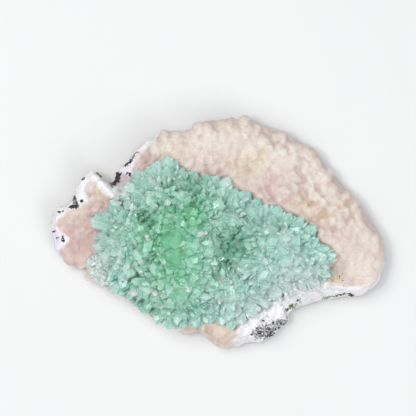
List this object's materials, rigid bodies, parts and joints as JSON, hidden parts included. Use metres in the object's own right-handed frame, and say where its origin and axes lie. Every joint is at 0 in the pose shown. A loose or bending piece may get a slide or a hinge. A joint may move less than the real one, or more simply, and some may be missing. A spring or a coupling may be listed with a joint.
{
  "type": "apophyllite cluster on matrix",
  "caption": "Cluster of pointed green apophyllite crystals on a broken plate of cream and pink lumpy crust, lying on its back.",
  "frame": {"origin": "middle of the footprint at the level of the flat back that it rests on", "axes": "+Z out of the crust towards the crystals, +X towards the plate's right end as seen from the front, +Y towards its top edge"},
  "size_m": [0.161, 0.1124, 0.044],
  "materials": {
    "crust": "matte sugary druse, cream and pale pink, white on the broken rim, dark rock on the back",
    "apophyllite": "glassy translucent mint green, greener in the middle"
  },
  "bodies": {
    "root": {"matrix": "crust", "apophyllite_cluster": "apophyllite"}
  },
  "joints": []
}
